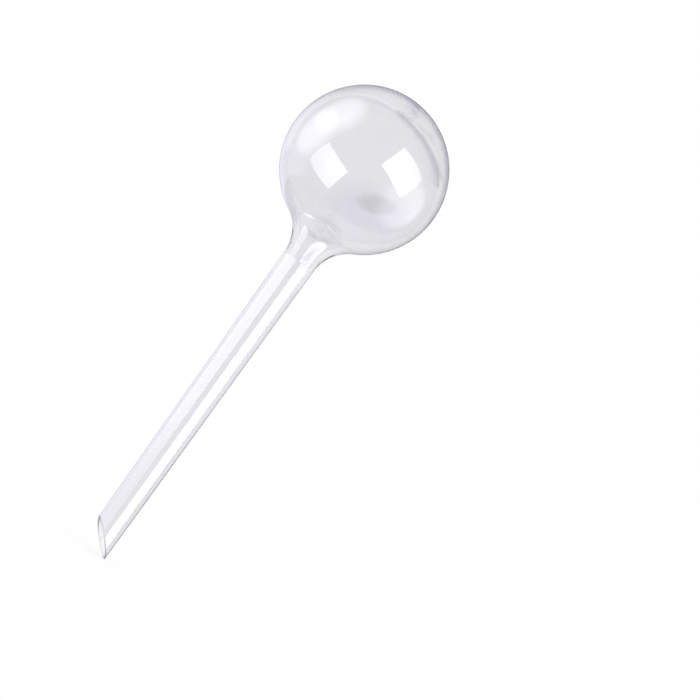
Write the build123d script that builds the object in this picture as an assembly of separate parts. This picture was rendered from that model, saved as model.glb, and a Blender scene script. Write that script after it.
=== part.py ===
from build123d import *
from math import radians, sqrt, tan
import os

# Watering globe: a clear bulb holds the water, and its hollow stem is pushed into potting soil.
# Millimetres. The origin is on the axis where neck and stem meet, which is also the soil line.
# +Z points up to the bulb's crown, and +X to the long side of the slanted tip.

# Overall form
overall_length = 130.0
bulb_diameter = 40.0
neck_fillet_radius = 10.0

# Bore and walls: blowing leaves the ball thin at its belly, thicker below and thickest at its crown
bore_diameter = 5.8
neck_wall = 1.3
tip_wall = 0.6
belly_wall = 1.5
crown_wall = 3.1
floor_wall = 2.4

# The ball's hollow leans towards +X by this many degrees, and opens into the bore with a round edge
hollow_lean = 13.6
throat_fillet_radius = 10.0

# Slanted tip: the angle is between the cut and the axis
tip_cut_angle = 42.0
tip_edge_radius = 0.2

# Cemented joint: the bulb's spigot points down into the stem's socket, the way the water runs
spigot_length = 5.0
cement_gap = 0.05

# Sizes that follow. Rounding the sharp point of the tip shortens it, so the stem starts longer by that loss.
bulb_radius = bulb_diameter / 2
bore_radius = bore_diameter / 2
neck_radius = bore_radius + neck_wall
tip_radius = bore_radius + tip_wall
spigot_radius = bore_radius + (neck_wall - cement_gap) / 2
socket_radius = spigot_radius + cement_gap
socket_depth = spigot_length + cement_gap
fillet_centre_x = neck_radius + neck_fillet_radius
centre_distance = bulb_radius + neck_fillet_radius
bulb_centre_z = sqrt(centre_distance**2 - fillet_centre_x**2)
tip_loss = tip_edge_radius * (1 / tan(radians(tip_cut_angle) / 2) - 1)
stem_length = overall_length - bulb_radius - bulb_centre_z + tip_loss
hollow_radius = bulb_radius - belly_wall


def revolved(outline):
    """Turn a closed outline of (radius, height) points about the Z axis."""
    return revolve(Plane.XZ * make_face(outline), Axis.Z)


def bulb_skin():
    """The spigot, its shoulder, the flared neck and the ball, filled solid."""
    foot = (0, -spigot_length)
    crown = (0, bulb_centre_z + bulb_radius)
    share = bulb_radius / centre_distance
    flare_end = (fillet_centre_x * share, bulb_centre_z * (1 - share))
    spigot = Polyline(foot, (spigot_radius, -spigot_length), (spigot_radius, 0), (neck_radius, 0))
    flare = TangentArc(spigot @ 1, flare_end, tangent=(0, 1))
    ball = TangentArc(flare @ 1, crown, tangent=flare % 1)
    return revolved(spigot + flare + ball + Line(crown, foot))


def half_oval(height, up):
    """Two arcs of an oval, from the hollow's belly to its roof (up is 1) or to its floor (up is -1)."""
    end_radius = hollow_radius**2 / height
    side_radius = height * (hollow_radius + height) / (2 * hollow_radius)
    share = end_radius / (end_radius - side_radius)
    joint = ((hollow_radius - side_radius) * share, up * (height - end_radius) * (1 - share))
    side = TangentArc((hollow_radius, 0), joint, tangent=(0, up))
    return side + TangentArc(side @ 1, (0, up * height), tangent=side % 1)


def ball_hollow():
    """The water space in the ball: an oval, flatter on top, on a leaning axis."""
    roof_height = bulb_radius - crown_wall
    floor_depth = bulb_radius - floor_wall
    axis = Line((0, roof_height), (0, -floor_depth))
    oval = revolved(half_oval(roof_height, 1) + axis + half_oval(floor_depth, -1))
    return Pos(0, 0, bulb_centre_z) * Rot(0, hollow_lean, 0) * oval


def neck_bore():
    """The straight bore, up through the spigot and the neck to the middle of the ball's hollow."""
    bottom = (0, 0, -spigot_length)
    upwards = (Align.CENTER, Align.CENTER, Align.MIN)
    return Pos(bottom) * Cylinder(bore_radius, spigot_length + bulb_centre_z, align=upwards)


def make_bulb():
    """The blown piece, with the edge where its bore enters the hollow rounded into a throat."""
    bulb = bulb_skin() - ball_hollow() - neck_bore()
    bore_wall = bulb.faces().filter_by(GeomType.CYLINDER).sort_by(SortBy.RADIUS)[0]
    throat_edges = bore_wall.edges().filter_by(GeomType.BSPLINE)
    return fillet(throat_edges, throat_fillet_radius)


def make_stem():
    """A tapered tube with the socket in its top and a slanted cut across its lower end."""
    tube = revolved(
        Polyline(
            (socket_radius, 0),
            (neck_radius, 0),
            (tip_radius, -stem_length),
            (bore_radius, -stem_length),
            (bore_radius, -socket_depth),
            (socket_radius, -socket_depth),
            close=True,
        )
    )
    cut = Plane((tip_radius, 0, -stem_length), z_dir=(1, 0, tan(radians(tip_cut_angle))))
    tube = split(tube, bisect_by=cut, keep=Keep.TOP)
    cut_edges = tube.faces().sort_by(Axis.Z)[0].edges()
    return fillet(cut_edges, tip_edge_radius)


os.makedirs("parts", exist_ok=True)
export_step(make_bulb(), "parts/bulb.step")
export_step(make_stem(), "parts/stem.step")
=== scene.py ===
"""Looks of the watering globe: a clear blown bulb, cemented on a clear drawn stem with a slanted tip."""

from math import atan2, cos, hypot, pi, radians, sin, sqrt, tan

import bpy
from mathutils import Matrix, Vector


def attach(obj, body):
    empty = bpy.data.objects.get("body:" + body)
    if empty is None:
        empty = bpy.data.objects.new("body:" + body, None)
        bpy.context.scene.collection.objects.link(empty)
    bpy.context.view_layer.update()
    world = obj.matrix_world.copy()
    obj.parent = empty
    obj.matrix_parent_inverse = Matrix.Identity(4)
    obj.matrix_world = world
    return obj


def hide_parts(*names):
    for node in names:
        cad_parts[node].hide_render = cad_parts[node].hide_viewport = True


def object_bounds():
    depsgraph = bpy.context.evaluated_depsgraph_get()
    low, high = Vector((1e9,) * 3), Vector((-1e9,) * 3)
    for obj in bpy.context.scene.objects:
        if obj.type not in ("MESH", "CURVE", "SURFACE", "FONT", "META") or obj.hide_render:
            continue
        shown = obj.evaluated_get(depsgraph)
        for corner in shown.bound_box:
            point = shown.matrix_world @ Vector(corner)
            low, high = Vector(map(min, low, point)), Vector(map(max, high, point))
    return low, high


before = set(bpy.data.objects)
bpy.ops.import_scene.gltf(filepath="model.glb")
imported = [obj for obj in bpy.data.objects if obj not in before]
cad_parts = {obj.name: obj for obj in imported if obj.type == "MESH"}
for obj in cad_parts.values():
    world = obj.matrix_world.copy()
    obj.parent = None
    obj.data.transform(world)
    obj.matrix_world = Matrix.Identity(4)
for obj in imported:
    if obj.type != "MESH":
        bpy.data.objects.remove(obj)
cad_low, cad_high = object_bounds()

MM = 0.001

# Sizes of the two pieces, as in the solids. The axis is Z, and the pieces meet at height 0.
BULB_RADIUS = 20 * MM
NECK_FILLET = 10 * MM
NECK_RADIUS = 4.2 * MM
TIP_RADIUS = 3.5 * MM
BORE_RADIUS = 2.9 * MM
SPIGOT_RADIUS = 3.525 * MM
SPIGOT_LENGTH = 5 * MM
CEMENT_GAP = 0.05 * MM
OVERALL_LENGTH = 130 * MM

# The hollow in the ball: an oval that leans towards +X, and a round throat into the bore
BELLY_WALL = 1.5 * MM
CROWN_WALL = 3.1 * MM
FLOOR_WALL = 2.4 * MM
HOLLOW_LEAN = radians(13.6)
THROAT_FILLET = 10 * MM

# The slanted tip: its cut, its rounded edge, and a loop of edges this many edge widths above the cut
TIP_CUT_ANGLE = radians(42)
TIP_EDGE = 0.3 * MM
TIP_EDGE_STEPS = 4
HOLDING_LOOP = 1.7

# Faces of the cut lie nearer to its plane than this share of the edge, and lower than this above the tip
CUT_SHARE = 0.9
CUT_REACH = 10 * MM

# How finely round forms are divided, how near two points are one, and which edges are smoothed
SIDES = 192
ARC_STEP = radians(2.5)
CARD_STEPS = 64
SAME_POINT = 0.001 * MM
SAME_PLANE = 0.0001 * MM
SMOOTH_ANGLE = radians(30)

# Places that follow from the sizes
FLARE_CENTRE = Vector((NECK_RADIUS + NECK_FILLET, 0, 0))
BALL_HEIGHT = sqrt((BULB_RADIUS + NECK_FILLET) ** 2 - FLARE_CENTRE.x**2)
BALL_CENTRE = Vector((0, 0, BALL_HEIGHT))
TIP_LOSS = TIP_EDGE * (1 - tan(TIP_CUT_ANGLE / 2))
STEM_LENGTH = OVERALL_LENGTH - BULB_RADIUS - BALL_HEIGHT + TIP_LOSS
HOLLOW_RADIUS = BULB_RADIUS - BELLY_WALL
LEAN_RISE = FLARE_CENTRE.x
SOCKET_RADIUS = SPIGOT_RADIUS + CEMENT_GAP
SOCKET_DEPTH = SPIGOT_LENGTH + CEMENT_GAP
TIP_POINT = Vector((TIP_RADIUS, 0, -STEM_LENGTH))
CUT_NORMAL = Vector((cos(TIP_CUT_ANGLE), 0, sin(TIP_CUT_ANGLE)))
UP = Vector((0, 0, 1))

# The view: turned about the axis, square to it and rolled, with a long lens
VIEW_TURN = radians(22)
VIEW_ROLL = radians(35.515)
LENS = 150
SENSOR = 36
FRAME_WIDTH = 164.47 * MM
BALL_IN_FRAME = (3.34 * MM, 42.29 * MM)

# The plastic. Its tint varies between a deep and a pale one, and rays may turn often inside its walls.
PLASTIC_IOR = 1.53
DEEP_TINT = (0.886, 0.883, 0.91, 1)
PALE_TINT = (0.906, 0.901, 0.92, 1)
CUT_TINT = (0.8, 0.795, 0.82, 1)
BOUNCES = 96

# A painted shade: the edge of the crown's thick side gets a darker tint that stands in for its dark outline.
# Its direction, and where along it the painted shade begins and is full
PAINTED_SHADE_SIDE = (0.24, -0.097, 0.966)
PAINTED_SHADE_FROM = 29 * MM
PAINTED_SHADE_TO = 44 * MM
EDGE_FROM = 0.64
EDGE_TO = 0.74
PAINTED_EDGE_SHADE = (0.62, 0.6, 0.71, 1)

# The floor and the dark tent
FLOOR_SIZE = 12
FLOOR_DROP = 0.01 * MM
FLOOR_GLOW = 0.77
TENT_RADIUS = 4
TENT_COLOUR = (0.8, 0.74, 1, 1)

# The studio's cards and lights. Reaches and distances are from the ball's middle.
CARD_COLOUR = (0.97, 0.96, 1, 1)
CROWN_FLAG_REACH = 45 * MM
LEFT_FLAG_REACH = 0.5
BOX_DISTANCE = 23 * MM
BOX_BEAM = radians(125)
GLOW_DISTANCE = 21.2 * MM
GLOW_BEAM = radians(132)
FULL_BEAM = pi
STRIP_PLACE = {"radius": 1.0, "low": -0.4, "high": 0.2}


class Wire:
    """A socket in a node tree. Sums on it add Math nodes, and node() adds any other node."""

    def __init__(self, tree, socket=None):
        self.tree = tree
        self.socket = socket

    def node(self, kind, settings=None, sockets=None, output=0):
        """Adds a node, sets its settings, then fills its sockets, and gives one of its outputs."""
        made = self.tree.nodes.new(kind)
        for name, value in (settings or {}).items():
            setattr(made, name, value)
        for name, value in (sockets or {}).items():
            if isinstance(value, Wire):
                self.tree.links.new(value.socket, made.inputs[name])
            else:
                made.inputs[name].default_value = value
        return Wire(self.tree, made.outputs[output] if made.outputs else None)

    def math(self, operation, *values):
        """Adds a Math node."""
        return self.node("ShaderNodeMath", {"operation": operation}, dict(enumerate(values)))

    def __sub__(self, other):
        return self.math("SUBTRACT", self, other)

    def __rsub__(self, other):
        return self.math("SUBTRACT", other, self)

    def __mul__(self, other):
        return self.math("MULTIPLY", self, other)

    __rmul__ = __mul__


def ramp(value, start, end, low, high):
    """A soft step of a wire's value from low to high."""
    smooth = {"interpolation_type": "SMOOTHSTEP"}
    sockets = {"Value": value, "From Min": start, "From Max": end, "To Min": low, "To Max": high}
    return value.node("ShaderNodeMapRange", smooth, sockets)


def along(wire, direction):
    """How far a point of the object lies in a direction."""
    place = wire.node("ShaderNodeTexCoord", output="Object")
    sockets = {0: place, 1: tuple(direction)}
    return wire.node("ShaderNodeVectorMath", {"operation": "DOT_PRODUCT"}, sockets, output="Value")


def noise(place, scale, detail):
    """A cloudy pattern over a place."""
    return place.node("ShaderNodeTexNoise", sockets={"Vector": place, "Scale": scale, "Detail": detail})


def mix_colours(share, first, second):
    """A colour between two, by a wire's share of the second."""
    sockets = {"Factor": share, "A": first, "B": second}
    return share.node("ShaderNodeMix", {"data_type": "RGBA"}, sockets, output="Result")


def select_nothing():
    """Deselects every object."""
    bpy.ops.object.select_all(action="DESELECT")


def start_outline(name, place):
    """A new object at the origin, in edit mode, with one selected vertex at a place."""
    select_nothing()
    bpy.ops.mesh.primitive_plane_add(size=1 * MM, location=(0, 0, 0), enter_editmode=True)
    bpy.context.object.name = name
    bpy.context.object.data.name = name
    bpy.ops.mesh.merge(type="CENTER")
    bpy.ops.transform.translate(value=place)
    return bpy.context.object


def line_to(start, end):
    """Draws the outline on by a straight edge."""
    bpy.ops.mesh.extrude_region_move(TRANSFORM_OT_translate={"value": end - start})
    return end


def arc_to(start, centre, end):
    """Draws the outline on by an arc about a centre, in the XZ plane."""
    before = start - centre
    after = end - centre
    turn = atan2(after.x, after.z) - atan2(before.x, before.z)
    turn = (turn + pi) % (2 * pi) - pi
    steps = max(2, round(abs(turn) / ARC_STEP))
    bpy.ops.mesh.spin(steps=steps, angle=turn, center=centre, axis=(0, -1, 0))
    return end


def turn_solid():
    """Turns the outline about the Z axis into a closed body, and leaves edit mode."""
    bpy.ops.mesh.select_all(action="SELECT")
    bpy.ops.mesh.spin(steps=SIDES, angle=2 * pi, center=(0, 0, 0), axis=UP)
    bpy.ops.mesh.select_all(action="SELECT")
    bpy.ops.mesh.remove_doubles(threshold=SAME_POINT)
    bpy.ops.mesh.normals_make_consistent(inside=False)
    bpy.ops.object.mode_set(mode="OBJECT")


def point(radius, height):
    """A place in the XZ plane."""
    return Vector((radius, 0, height))


def oval_arcs(height, up):
    """Centre of the end arc, centre of the side arc and their joint, for one half of the hollow's oval."""
    end_radius = HOLLOW_RADIUS**2 / height
    side_radius = height * (HOLLOW_RADIUS + height) / (2 * HOLLOW_RADIUS)
    end_centre = BALL_CENTRE + point(0, up * (height - end_radius))
    side_centre = BALL_CENTRE + point(HOLLOW_RADIUS - side_radius, 0)
    share = end_radius / (end_radius - side_radius)
    return end_centre, side_centre, end_centre.lerp(side_centre, share)


def draw_hollow(here):
    """Draws the hollow's outline from the bore's lower end, up the bore, to the middle of its roof."""
    roof_height = BULB_RADIUS - CROWN_WALL
    floor_depth = BULB_RADIUS - FLOOR_WALL
    floor_centre, side_centre, joint = oval_arcs(floor_depth, -1)
    floor_radius = HOLLOW_RADIUS**2 / floor_depth
    throat_x = BORE_RADIUS + THROAT_FILLET
    throat_drop = sqrt((floor_radius + THROAT_FILLET) ** 2 - throat_x**2)
    throat_centre = point(throat_x, floor_centre.z - throat_drop)
    throat_end = floor_centre.lerp(throat_centre, floor_radius / (floor_radius + THROAT_FILLET))
    here = line_to(here, point(BORE_RADIUS, throat_centre.z))
    here = arc_to(here, throat_centre, throat_end)
    here = arc_to(here, floor_centre, joint)
    here = arc_to(here, side_centre, BALL_CENTRE + point(HOLLOW_RADIUS, 0))
    roof_centre, side_centre, joint = oval_arcs(roof_height, 1)
    here = arc_to(here, side_centre, joint)
    arc_to(here, roof_centre, BALL_CENTRE + point(0, roof_height))


def lean_hollow(bulb):
    """Leans the hollow towards +X about the ball's middle, and the throat less and less towards the bore."""
    throat_top = BALL_HEIGHT - HOLLOW_RADIUS
    inside = BULB_RADIUS - BELLY_WALL / 2
    for vertex in bulb.data.vertices:
        arm = vertex.co - BALL_CENTRE
        if arm.length < inside:
            share = min(1, max(0, (vertex.co.z - throat_top) / LEAN_RISE))
            lean = HOLLOW_LEAN * share * share * (3 - 2 * share)
            vertex.co = BALL_CENTRE + Matrix.Rotation(lean, 3, "Y") @ arm


def make_bulb():
    """The blown bulb with its flared neck and its spigot."""
    crown = BALL_CENTRE + point(0, BULB_RADIUS)
    flare_end = BALL_CENTRE.lerp(FLARE_CENTRE, BULB_RADIUS / (BULB_RADIUS + NECK_FILLET))
    bulb = start_outline("clear_bulb", crown)
    here = arc_to(crown, BALL_CENTRE, flare_end)
    here = arc_to(here, FLARE_CENTRE, point(NECK_RADIUS, 0))
    here = line_to(here, point(SPIGOT_RADIUS, 0))
    here = line_to(here, point(SPIGOT_RADIUS, -SPIGOT_LENGTH))
    here = line_to(here, point(BORE_RADIUS, -SPIGOT_LENGTH))
    draw_hollow(here)
    turn_solid()
    lean_hollow(bulb)
    return bulb


def make_stem():
    """The drawn stem: a tapered tube with a socket at its top and a rounded slanted cut at its tip."""
    start = point(SOCKET_RADIUS, -SOCKET_DEPTH)
    stem = start_outline("clear_stem", start)
    here = line_to(start, point(SOCKET_RADIUS, 0))
    here = line_to(here, point(NECK_RADIUS, 0))
    here = line_to(here, TIP_POINT)
    here = line_to(here, point(BORE_RADIUS, TIP_POINT.z))
    here = line_to(here, point(BORE_RADIUS, -SOCKET_DEPTH))
    line_to(here, start)
    turn_solid()
    cut_tip()
    return stem


def cut_tip():
    """Cuts the tube on a slant through its lowest point at +X, closes the cut and rounds its edges."""
    bpy.ops.object.mode_set(mode="EDIT")
    bpy.ops.mesh.select_all(action="SELECT")
    holding_loop = TIP_POINT + CUT_NORMAL * TIP_EDGE * HOLDING_LOOP
    bpy.ops.mesh.bisect(plane_co=holding_loop, plane_no=CUT_NORMAL, threshold=SAME_PLANE)
    bpy.ops.mesh.select_all(action="SELECT")
    bpy.ops.mesh.bisect(plane_co=TIP_POINT, plane_no=CUT_NORMAL, clear_inner=True, threshold=SAME_PLANE)
    bpy.ops.mesh.select_all(action="DESELECT")
    bpy.ops.mesh.select_non_manifold(extend=False)
    bpy.ops.mesh.bridge_edge_loops()
    bpy.ops.mesh.region_to_loop()
    bpy.ops.mesh.bevel(offset=TIP_EDGE, segments=TIP_EDGE_STEPS, affect="EDGES")
    bpy.ops.mesh.select_all(action="SELECT")
    bpy.ops.mesh.normals_make_consistent(inside=False)
    bpy.ops.object.mode_set(mode="OBJECT")


def is_cemented(face):
    """True for the faces of the joint between spigot and socket, where cement fills the gap."""
    radius = hypot(face.center.x, face.center.y)
    in_height = -SOCKET_DEPTH - CEMENT_GAP < face.center.z < CEMENT_GAP
    return in_height and BORE_RADIUS + CEMENT_GAP < radius < NECK_RADIUS - CEMENT_GAP


def is_cut(face):
    """True for the faces of the slanted cut and its rounded edges."""
    from_cut = (face.center - TIP_POINT).dot(CUT_NORMAL)
    return abs(from_cut) < TIP_EDGE * CUT_SHARE and face.center.z < TIP_POINT.z + CUT_REACH


def finish_piece(piece, node, plastic, cement, cut):
    """Smooths a piece's round faces, gives it its materials and lets it stand for its solid."""
    select_nothing()
    piece.select_set(True)
    bpy.context.view_layer.objects.active = piece
    bpy.ops.object.shade_smooth_by_angle(angle=SMOOTH_ANGLE)
    piece.data.materials.append(plastic)
    piece.data.materials.append(cement)
    piece.data.materials.append(cut)
    for face in piece.data.polygons:
        if is_cemented(face):
            face.material_index = 1
        elif is_cut(face):
            face.material_index = 2
    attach(piece, "root")
    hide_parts(node)


def new_material(name):
    """A material with an empty tree, and a wire to start from."""
    material = bpy.data.materials.new(name)
    material.use_nodes = True
    material.node_tree.nodes.clear()
    return material, Wire(material.node_tree)


def clear_plastic(name, ripple_scale, ripple_height):
    """Clear plastic with a faint violet tint, slight smudges, ripples from blowing or drawing it, and a
    painted shade that darkens the tint at the edge of the crown's thick side.
    """
    material, wire = new_material(name)
    place = wire.node("ShaderNodeTexCoord", output="Object")
    stretched = wire.node("ShaderNodeMapping", sockets={"Vector": place, "Scale": ripple_scale})
    ripple = noise(stretched, scale=1.0, detail=1.0)
    bump = wire.node(
        "ShaderNodeBump", sockets={"Height": ripple, "Strength": 1.0, "Distance": ripple_height}
    )
    tint = mix_colours(noise(place, scale=70.0, detail=3.0), DEEP_TINT, PALE_TINT)
    # Painted shade: the tint darkens where the crown's thick side turns away to its edge, standing in for
    # its dark outline
    tint = mix_colours(painted_edge_shade(wire), tint, PAINTED_EDGE_SHADE)
    smudge = noise(place, scale=160.0, detail=4.0)
    rough = wire.node(
        "ShaderNodeMapRange",
        sockets={"Value": smudge, "From Min": 0.55, "From Max": 0.8, "To Min": 0.05, "To Max": 0.1},
    )
    shader = wire.node(
        "ShaderNodeBsdfPrincipled",
        sockets={
            "Base Color": tint,
            "Roughness": rough,
            "IOR": PLASTIC_IOR,
            "Transmission Weight": 1.0,
            "Normal": bump,
        },
    )
    wire.node("ShaderNodeOutputMaterial", sockets={"Surface": shader})
    return material


def painted_edge_shade(wire):
    """The mask of a painted shade: 1 where the outer skin of the crown's thick side turns away to its edge,
    and 0 elsewhere.
    """
    facing = wire.node("ShaderNodeLayerWeight", sockets={"Blend": 0.5}, output="Facing")
    inside = wire.node("ShaderNodeNewGeometry", output="Backfacing")
    on_painted_side = ramp(along(wire, PAINTED_SHADE_SIDE), PAINTED_SHADE_FROM, PAINTED_SHADE_TO, 0, 1)
    return ramp(facing, EDGE_FROM, EDGE_TO, 0, 1) * on_painted_side * (1 - inside)


def ground_plastic():
    """The cut face of the tip, dulled by the cutter."""
    material, wire = new_material("ground_plastic")
    place = wire.node("ShaderNodeTexCoord", output="Object")
    marks = noise(place, scale=2500.0, detail=2.0)
    shader = wire.node(
        "ShaderNodeBsdfPrincipled",
        sockets={
            "Base Color": CUT_TINT,
            "Roughness": ramp(marks, start=0.3, end=0.7, low=0.25, high=0.5),
            "IOR": PLASTIC_IOR,
            "Transmission Weight": 1.0,
        },
    )
    wire.node("ShaderNodeOutputMaterial", sockets={"Surface": shader})
    return material


def clear_cement():
    """The joint's cemented faces. Light passes them unbent, as cement like the plastic would let it."""
    material, wire = new_material("clear_cement")
    shader = wire.node(
        "ShaderNodeBsdfPrincipled",
        sockets={
            "Base Color": (1, 1, 1, 1),
            "Roughness": 0.0,
            "IOR": 1.0,
            "Transmission Weight": 1.0,
        },
    )
    wire.node("ShaderNodeOutputMaterial", sockets={"Surface": shader})
    return material


def view_axes():
    """The view's right, up and backward directions."""
    side = Vector((cos(VIEW_TURN), -sin(VIEW_TURN), 0))
    right = side * cos(VIEW_ROLL) + UP * sin(VIEW_ROLL)
    return right, UP * cos(VIEW_ROLL) - side * sin(VIEW_ROLL), side.cross(UP)


def add_camera():
    """A camera square to the axis, with the ball at its place in the frame."""
    right, up, back = view_axes()
    target = BALL_CENTRE - right * BALL_IN_FRAME[0] - up * BALL_IN_FRAME[1]
    data = bpy.data.cameras.new("camera")
    data.lens = LENS
    data.sensor_width = SENSOR
    camera = bpy.data.objects.new("camera", data)
    bpy.context.scene.collection.objects.link(camera)
    turn = Matrix((right, up, back)).transposed()
    place = target + back * FRAME_WIDTH * LENS / SENSOR
    camera.matrix_world = Matrix.Translation(place) @ turn.to_4x4()
    bpy.context.scene.camera = camera


def seen_rays(wire):
    """1 for rays from the camera, and for those that clear walls mirror or let through."""
    path = wire.node("ShaderNodeLightPath")
    outputs = path.socket.node.outputs
    camera, glossy, through = (
        Wire(wire.tree, outputs[name])
        for name in ("Is Camera Ray", "Is Glossy Ray", "Is Transmission Ray")
    )
    return camera.math("MAXIMUM", camera.math("MAXIMUM", camera, glossy), through)


def add_world():
    """A white background, which gives a little less light than it shows."""
    world = bpy.data.worlds.new("studio")
    bpy.context.scene.world = world
    world.use_nodes = True
    world.node_tree.nodes.clear()
    wire = Wire(world.node_tree)
    lighting = wire.node("ShaderNodeBackground", sockets={"Color": (1, 1, 1, 1), "Strength": 0.8})
    white = wire.node("ShaderNodeBackground", sockets={"Color": (1, 1, 1, 1), "Strength": 1.0})
    both = wire.node("ShaderNodeMixShader", sockets={0: seen_rays(wire), 1: lighting, 2: white})
    wire.node("ShaderNodeOutputWorld", sockets={"Surface": both})


def add_floor():
    """A pale floor that keeps a faint shadow. The plastic mirrors and lets through the studio instead."""
    select_nothing()
    bpy.ops.mesh.primitive_plane_add(size=FLOOR_SIZE, location=(0, 0, cad_low.z - FLOOR_DROP))
    floor = bpy.context.object
    floor.name = "floor"
    floor.visible_glossy = False
    floor.visible_transmission = False
    material, wire = new_material("pale_floor")
    matt = wire.node("ShaderNodeBsdfDiffuse", sockets={"Color": (0.3, 0.3, 0.3, 1)})
    glow = wire.node("ShaderNodeEmission", sockets={"Strength": seen_rays(wire) * FLOOR_GLOW})
    both = wire.node("ShaderNodeAddShader", sockets={0: matt, 1: glow})
    wire.node("ShaderNodeOutputMaterial", sockets={"Surface": both})
    floor.data.materials.append(material)


def lit_only(piece):
    """A collection of one piece, for lights that light no other."""
    collection = bpy.data.collections.new("lit_" + piece.name)
    collection.objects.link(piece)
    return collection


def make_card(name, level, seen="skin", cover=None, only=None, colour=CARD_COLOUR):
    """Makes the active object a card of the studio, hidden from the camera.

    The outer skin mirrors a card seen by the skin. Every ray through the walls meets a card seen by the
    walls, but only a ray that was mirrored inside meets one seen inside. A card without full cover is
    partly clear, and a card for only one piece is clear and adds its glow.
    """
    card = bpy.context.object
    card.name = name
    card.visible_camera = False
    card.visible_diffuse = False
    card.visible_shadow = False
    card.visible_volume_scatter = False
    card.visible_glossy = seen == "skin"
    card.visible_transmission = seen != "skin"
    material, wire = new_material(name)
    material.cycles.emission_sampling = "NONE"
    strength = level(wire) if callable(level) else level
    share = cover(wire) if cover else 1
    if seen == "inside":
        share = mirrored_inside(wire) * share
    clear = wire.node("ShaderNodeBsdfTransparent")
    glow = wire.node("ShaderNodeEmission", sockets={"Color": colour, "Strength": strength})
    if only:
        shader = wire.node("ShaderNodeAddShader", sockets={0: clear, 1: glow})
        card.light_linking.receiver_collection = only
    else:
        shader = wire.node("ShaderNodeMixShader", sockets={0: share, 1: clear, 2: glow})
    wire.node("ShaderNodeOutputMaterial", sockets={"Surface": shader})
    card.data.materials.append(material)


def mirrored_inside(wire):
    """1 for rays that a face mirrored on their way, 0 for the rest."""
    turns = wire.node("ShaderNodeLightPath", output="Glossy Depth")
    return turns.math("GREATER_THAN", turns, 0.5)


def soft_edge(wire):
    """The cover of a disc that fades towards its edge."""
    place = wire.node("ShaderNodeTexCoord", output="Object")
    ball = {"gradient_type": "SPHERICAL"}
    from_edge = wire.node("ShaderNodeTexGradient", ball, {"Vector": place}, output="Fac")
    return ramp(from_edge, start=0, end=0.55, low=0, high=1)


def aim_card(towards, width, height, distance, roll=0, centre=BALL_CENTRE):
    """Sets the active object, of size 1, at a distance in a direction of the view, facing the centre."""
    right, up, back = view_axes()
    direction = (right * towards[0] + up * towards[1] + back * towards[2]).normalized()
    across = up.cross(-direction).normalized()
    turn = Matrix((across, across.cross(direction), -direction)).transposed()
    turn = turn @ Matrix.Rotation(roll, 3, "Z")
    card = bpy.context.object
    card.matrix_world = Matrix.Translation(centre + direction * distance) @ turn.to_4x4()
    card.scale = (width, height, 1)


def add_disc(name, level, place, **kind):
    """A round or oval card that fades towards its edge."""
    select_nothing()
    bpy.ops.mesh.primitive_circle_add(vertices=CARD_STEPS, radius=1, fill_type="NGON")
    aim_card(**place)
    make_card(name, level, cover=soft_edge, **kind)


def add_light(name, level, place, only, shape="RECTANGLE", beam=FULL_BEAM):
    """A light that the outer skin of one piece mirrors, dark to the camera and as bright as a card.

    An oval one fades towards its edge.
    """
    select_nothing()
    bpy.ops.object.light_add(type="AREA", radius=1)
    aim_card(**place)
    lamp = bpy.context.object
    lamp.name = name
    lamp.rotation_euler.rotate_axis("Y", pi)
    lamp.visible_camera = False
    lamp.visible_transmission = False
    lamp.light_linking.receiver_collection = only
    lamp.data.shape = shape
    lamp.data.size = 1
    lamp.data.size_y = 1
    lamp.data.spread = beam
    lamp.data.normalize = False
    lamp.data.energy = pi * level
    lamp.data.color = CARD_COLOUR[:3]
    if shape == "ELLIPSE":
        fade_light(lamp.data)


def fade_light(light):
    """Makes an oval light fade towards its edge."""
    light.use_nodes = True
    light.node_tree.nodes.clear()
    wire = Wire(light.node_tree)
    place = wire.node("ShaderNodeNewGeometry", output="Parametric")
    middle = (0.5, 0.5, 0)
    distance = {"operation": "DISTANCE"}
    from_middle = wire.node("ShaderNodeVectorMath", distance, {0: place, 1: middle}, output="Value")
    strength = ramp(from_middle, start=0.225, end=0.5, low=1, high=0)
    glow = wire.node("ShaderNodeEmission", sockets={"Strength": strength})
    wire.node("ShaderNodeOutputLight", sockets={"Surface": glow})


def add_bent(name, level, near, far, turn, centre=Vector(), axis=UP, **kind):
    """A card swept by the edge between two points as it turns about an axis."""
    start_outline(name, near)
    line_to(near, far)
    bpy.ops.mesh.select_all(action="SELECT")
    bpy.ops.mesh.spin(steps=CARD_STEPS, angle=turn, center=centre, axis=axis)
    bpy.ops.object.mode_set(mode="OBJECT")
    make_card(name, level, **kind)


def add_strip(name, level, radius, start, end, low, high, **kind):
    """An upright card bent about the axis, between two turns from the camera to the view's right."""
    back = view_axes()[2]
    near = Matrix.Rotation(start, 3, "Z") @ back * radius + point(0, low)
    add_bent(name, level, near, near + point(0, high - low), start - end, **kind)


def add_flag(name, level, inner, outer, start, end, reach, **kind):
    """A grey card beside or behind the ball, bent round the line of sight between two angles from it.

    It reaches between two turns about the line of sight, from the axis to the view's right.
    """
    right, up, back = view_axes()
    radial = up * cos(VIEW_ROLL + start) + right * sin(VIEW_ROLL + start)
    near = BALL_CENTRE + (radial * sin(inner) - back * cos(inner)) * reach
    far = BALL_CENTRE + (radial * sin(outer) - back * cos(outer)) * reach
    add_bent(name, level, near, far, end - start, BALL_CENTRE, back, **kind)


def tent_level(wire):
    """Dark cloth, paler behind the object on the view's left."""
    right, _, back = view_axes()
    pale_side = -right * 0.8 - back * 0.6
    return ramp(along(wire, pale_side), start=2.0, end=3.6, low=0.08, high=1.0)


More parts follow.
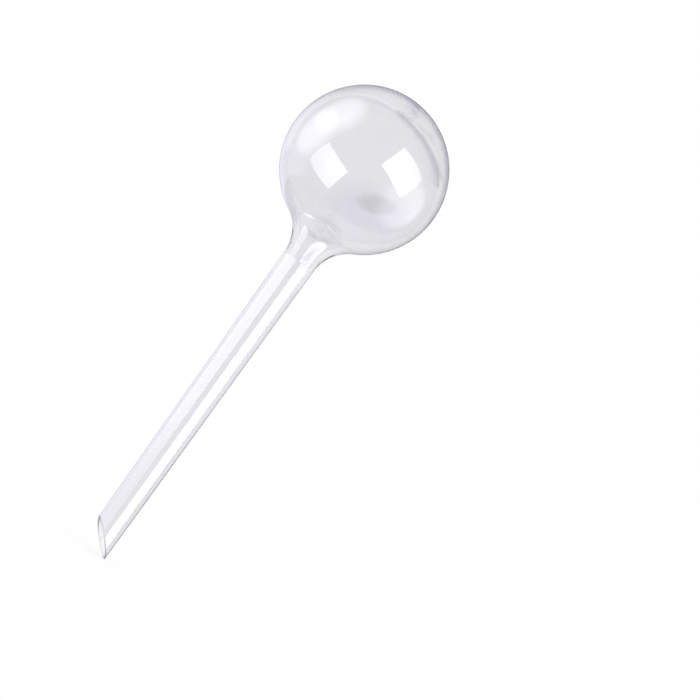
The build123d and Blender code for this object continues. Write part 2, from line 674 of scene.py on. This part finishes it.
def stem_wall_level(wire):
    """A pale wall with a soft dark band to the right of the middle, darkest at the tip."""
    right, up, _ = view_axes()
    across = along(wire, right * cos(VIEW_ROLL) - up * sin(VIEW_ROLL))
    band = ramp(across, -6 * MM, 1 * MM, 0, 1) - ramp(across, 5 * MM, 12 * MM, 0, 1)
    return 1 - band * ramp(along(wire, UP), start=-70 * MM, end=-30 * MM, low=0.55, high=0.15)


def left_strip_level(wire):
    """A strip that gets weaker towards its lower end."""
    return ramp(along(wire, UP), start=-170 * MM, end=-90 * MM, low=1.8, high=4.2)


def add_tent():
    """Dark cloth all round, which the outer skins mirror."""
    select_nothing()
    bpy.ops.mesh.primitive_ico_sphere_add(subdivisions=4, radius=TENT_RADIUS)
    make_card("dark_tent", tent_level, colour=TENT_COLOUR)


def add_stem_wall():
    """The wall behind the stem, which its mirroring walls show."""
    turns = {"start": radians(110), "end": radians(250)}
    heights = {"low": -100 * MM, "high": -5 * MM}
    add_strip("stem_wall", level=stem_wall_level, radius=25 * MM, **turns, **heights, seen="inside")


def add_flags():
    """Grey cards that darken the crown's edge and the ball's left side."""
    angles = {"inner": radians(59), "outer": radians(88)}
    turns = {"start": radians(0), "end": radians(60)}
    add_flag("crown_flag", level=0.66, **angles, **turns, reach=CROWN_FLAG_REACH, seen="walls")
    angles = {"inner": radians(45), "outer": radians(85)}
    turns = {"start": radians(-2), "end": radians(50)}
    add_flag("crown_edge_flag", level=0.6, **angles, **turns, reach=CROWN_FLAG_REACH, seen="inside")
    angles = {"inner": radians(22), "outer": radians(45)}
    turns = {"start": radians(-160), "end": radians(-112)}
    add_flag("left_flag", level=0.88, **angles, **turns, reach=LEFT_FLAG_REACH, seen="inside")


def add_grey_discs():
    """Two soft grey discs behind the ball, which its walls show near its middle."""
    oval = {"towards": (0.034, -0.076, -0.99), "width": 11 * MM, "height": 6 * MM, "distance": 100 * MM}
    add_disc("grey_oval", level=0.76, place=oval, seen="walls")
    shade = {"towards": (0, -0.13, -0.99), "width": 26 * MM, "height": 20 * MM, "distance": 110 * MM}
    add_disc("grey_shade", level=0.94, place=shade, seen="walls")


def add_ball_boxes(on_bulb):
    """The two soft boxes that the ball mirrors as bright squares."""
    left = {
        "towards": (-0.5, 0.01, 0.866),
        "width": 9 * MM,
        "height": 12.2 * MM,
        "roll": radians(-36.3),
        "distance": BOX_DISTANCE,
    }
    add_light("left_light", level=2.8, place=left, only=on_bulb, beam=BOX_BEAM)
    right = {
        "towards": (0.532, -0.087, 0.842),
        "width": 10.5 * MM,
        "height": 12.9 * MM,
        "roll": radians(-35.8),
        "distance": BOX_DISTANCE,
    }
    add_light("right_light", level=3.6, place=right, only=on_bulb, beam=BOX_BEAM)


def add_ball_glows(on_bulb):
    """The three soft glows that the ball mirrors towards its edge."""
    size = {"width": 20 * MM, "height": 20 * MM, "distance": GLOW_DISTANCE}
    left = {"towards": (-0.66, 0.49, 0.57), **size}
    add_light("left_glow", level=2.3, place=left, only=on_bulb, shape="ELLIPSE", beam=GLOW_BEAM)
    top = {"towards": (-0.32, 0.72, 0.615), **size}
    add_light("top_glow", level=2.4, place=top, only=on_bulb, shape="ELLIPSE", beam=GLOW_BEAM)
    size = {"width": 24 * MM, "height": 24 * MM, "distance": BOX_DISTANCE}
    lower_right = {"towards": (0.53, -0.52, 0.67), **size}
    add_light("lower_right_glow", level=2.6, place=lower_right, only=on_bulb, shape="ELLIPSE")


def add_neck_lights(on_bulb):
    """The two small lights that the flared neck mirrors, and a dark ring round it."""
    left = {
        "towards": (-0.791, 0.031, 0.61),
        "width": 4.5 * MM,
        "height": 3.5 * MM,
        "roll": radians(20),
        "centre": point(0, 5 * MM),
        "distance": 9.6 * MM,
    }
    add_light("left_neck_light", level=3, place=left, only=on_bulb)
    right = {
        "towards": (0.232, -0.535, 0.812),
        "width": 9.5 * MM,
        "height": 3.5 * MM,
        "roll": radians(39),
        "centre": point(0, 3.4 * MM),
        "distance": 9 * MM,
    }
    add_light("right_neck_light", level=5, place=right, only=on_bulb)
    add_bent("neck_shade", level=0.12, near=point(9.5 * MM, 0), far=point(32 * MM, 0), turn=2 * pi)


def add_stem_strips(on_stem):
    """The two tall strips that the stem mirrors down its length."""
    left = {"start": radians(-17), "end": radians(-97)}
    add_strip("left_strip", level=left_strip_level, **left, **STRIP_PLACE, only=on_stem)
    right = {"start": radians(20), "end": radians(86)}
    add_strip("right_strip", level=5.5, **right, **STRIP_PLACE, only=on_stem)


def add_studio(bulb, stem):
    """The dark tent, and the cards and lights of each piece."""
    add_tent()
    on_bulb = lit_only(bulb)
    on_stem = lit_only(stem)
    add_stem_wall()
    add_flags()
    add_grey_discs()
    add_ball_boxes(on_bulb)
    add_ball_glows(on_bulb)
    add_neck_lights(on_bulb)
    add_stem_strips(on_stem)


cement = clear_cement()
cut = ground_plastic()
bulb = make_bulb()
blown = clear_plastic("blown_plastic", ripple_scale=(60, 60, 60), ripple_height=0.03 * MM)
finish_piece(bulb, "bulb", blown, cement, cut)
stem = make_stem()
drawn = clear_plastic("drawn_plastic", ripple_scale=(300, 300, 12), ripple_height=0.005 * MM)
finish_piece(stem, "stem", drawn, cement, cut)
add_floor()
add_studio(bulb, stem)
add_world()
add_camera()
bpy.context.scene.view_settings.view_transform = "Standard"
bpy.context.scene.cycles.max_bounces = BOUNCES
bpy.context.scene.cycles.glossy_bounces = BOUNCES
bpy.context.scene.cycles.transmission_bounces = BOUNCES
